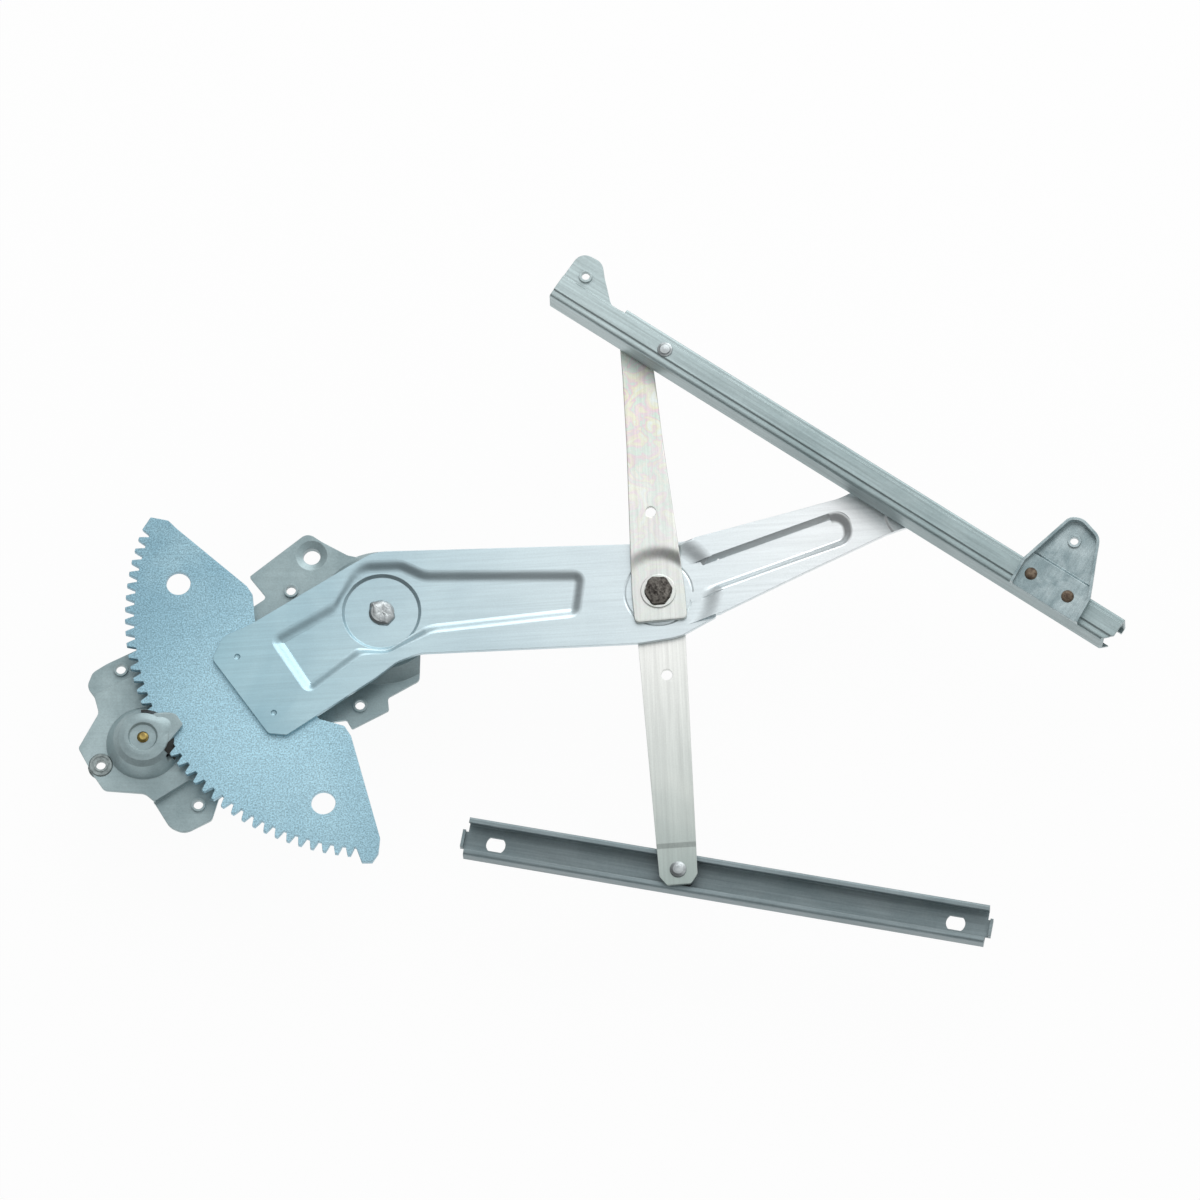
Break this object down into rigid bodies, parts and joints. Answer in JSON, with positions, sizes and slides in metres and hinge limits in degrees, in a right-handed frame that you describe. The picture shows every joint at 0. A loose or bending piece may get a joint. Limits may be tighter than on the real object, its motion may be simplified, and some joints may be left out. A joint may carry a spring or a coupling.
{
  "type": "window regulator",
  "caption": "Hand-cranked crossed-arm regulator: a pinion drives a toothed sector that swings a lift arm and its equalizer between a glass channel and a guide channel.",
  "frame": {"origin": "centre of the drawn locating hole in the base plate, on the plane that meets the door's inner panel", "axes": "+Z from the inner panel towards the glass, +X along the lift arm side of the part, away from the crank, +Y across it towards the glass channel"},
  "size_m": [0.5242, 0.3553, 0.0741],
  "materials": {
    "plate_steel": "bright zinc plate, rolled",
    "sector_steel": "blue zinc plate, faintly speckled",
    "lift_arm_steel": "blue zinc plate, smooth",
    "equalizer_steel": "bright zinc plate with a faint rainbow sheen",
    "upper_channel_steel": "bright zinc plate, drawn along its length",
    "lower_channel_steel": "dull zinc plate, drawn along its length",
    "bracket_steel": "bright zinc plate",
    "rivet_steel": "bare staked steel, browned",
    "turned_steel": "turned and plated",
    "spring_steel": "dark oiled spring steel",
    "pinion_brass": "yellow plated steel",
    "roller_nylon": "black moulded nylon"
  },
  "bodies": {
    "base": {"base_plate": "plate_steel", "clutch_drum": "plate_steel", "spindle_bush": "turned_steel", "pivot_bush": "turned_steel", "balance_spring": "spring_steel", "clinch_nut": "turned_steel"},
    "crank": {"crank_spindle": "turned_steel", "brake_spring": "spring_steel", "pinion_gear": "pinion_brass"},
    "lift": {"lift_arm": "lift_arm_steel", "sector_gear": "sector_steel", "pivot_shaft": "turned_steel", "lift_roller_stud": "turned_steel"},
    "lift_wheel": {"lift_roller": "roller_nylon"},
    "equalizer": {"equalizer_upper_arm": "equalizer_steel", "equalizer_lower_arm": "equalizer_steel", "center_pin": "rivet_steel", "center_washer": "turned_steel", "upper_roller_stud": "turned_steel", "lower_roller_stud": "turned_steel"},
    "upper_wheel": {"upper_roller": "roller_nylon"},
    "glass_rail": {"upper_channel": "upper_channel_steel", "stop_rivet": "turned_steel", "glass_bracket": "bracket_steel", "bracket_rivets": "rivet_steel"},
    "lower_wheel": {"lower_roller": "roller_nylon", "lower_washer": "turned_steel"},
    "door_rail": {"lower_channel": "lower_channel_steel"}
  },
  "joints": [
    {"name": "lift_turn", "type": "hinge", "parent": "base", "child": "lift", "pos_m": [0.0361, -0.034, 0.01], "axis": [0, 0, 1], "range_deg": [-50, 12]},
    {"name": "crank_turn", "type": "hinge", "parent": "base", "child": "crank", "pos_m": [-0.08262, -0.10035, 0.01], "axis": [0, 0, 1], "range_deg": [-193, 801]},
    {"name": "lift_roller_spin", "type": "hinge", "parent": "lift", "child": "lift_wheel", "pos_m": [0.30171, 0.01367, 0.028], "axis": [0, 0, 1], "continuous": true},
    {"name": "equalizer_turn", "type": "hinge", "parent": "lift", "child": "equalizer", "pos_m": [0.1752, -0.02574, 0.015], "axis": [0, 0, 1], "range_deg": [-24.5, 100.5]},
    {"name": "upper_roller_turn", "type": "hinge", "parent": "equalizer", "child": "upper_wheel", "pos_m": [0.16343, 0.10624, 0.028], "axis": [0, 0, 1], "range_deg": [-50.5, 12.5]},
    {"name": "glass_rail_slide", "type": "slide", "parent": "upper_wheel", "child": "glass_rail", "axis": [0.831, -0.5563, 0], "range_m": [-0.009, 0.024]},
    {"name": "door_rail_swing", "type": "hinge", "parent": "equalizer", "child": "lower_wheel", "pos_m": [0.18521, -0.17019, 0.005], "axis": [0, 0, 1], "range_deg": [-75, 52]},
    {"name": "door_rail_slide", "type": "slide", "parent": "lower_wheel", "child": "door_rail", "axis": [0.9836, -0.1805, 0], "range_m": [-0.005, 0.07]}
  ],
  "couplings": [
    {"joint": "crank_turn", "follows": "lift_turn", "ratio": -16},
    {"joint": "equalizer_turn", "follows": "lift_turn", "ratio": -2},
    {"joint": "upper_roller_turn", "follows": "lift_turn", "ratio": 1}
  ]
}
